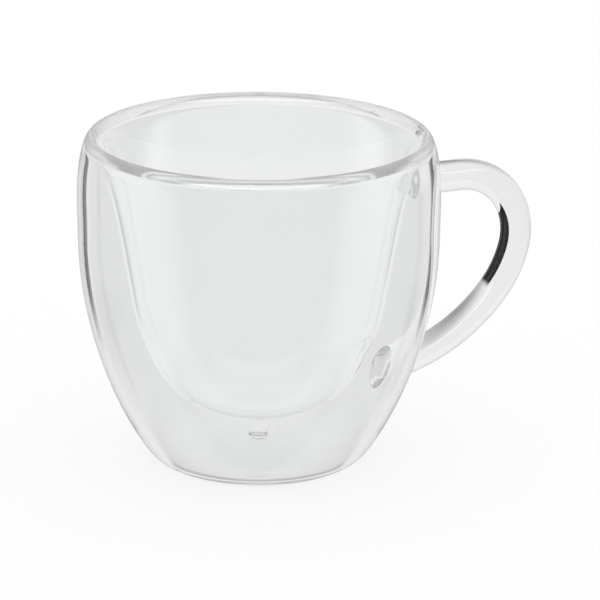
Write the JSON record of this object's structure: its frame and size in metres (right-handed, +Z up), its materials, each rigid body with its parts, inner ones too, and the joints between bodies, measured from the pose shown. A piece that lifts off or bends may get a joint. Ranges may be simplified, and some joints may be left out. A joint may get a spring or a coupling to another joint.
{
  "type": "double walled glass cup",
  "caption": "Round double walled glass cup with a rounded bowl sealed inside a clear jacket and a bent solid glass rod handle.",
  "frame": {"origin": "middle of the foot ring, on the surface the cup stands on", "axes": "+Z up along the cup's axis, +X towards the handle"},
  "size_m": [0.1214, 0.09, 0.0833],
  "materials": {
    "wall_glass": "polished clear",
    "rod_glass": "polished clear",
    "fused_glass": "flame polished"
  },
  "bodies": {
    "root": {"outer_jacket": "wall_glass", "inner_bowl": "wall_glass", "rim_bead": "fused_glass", "handle_rod": "rod_glass", "handle_upper_weld": "fused_glass", "handle_lower_weld": "fused_glass", "vent_seal": "fused_glass"}
  },
  "joints": []
}
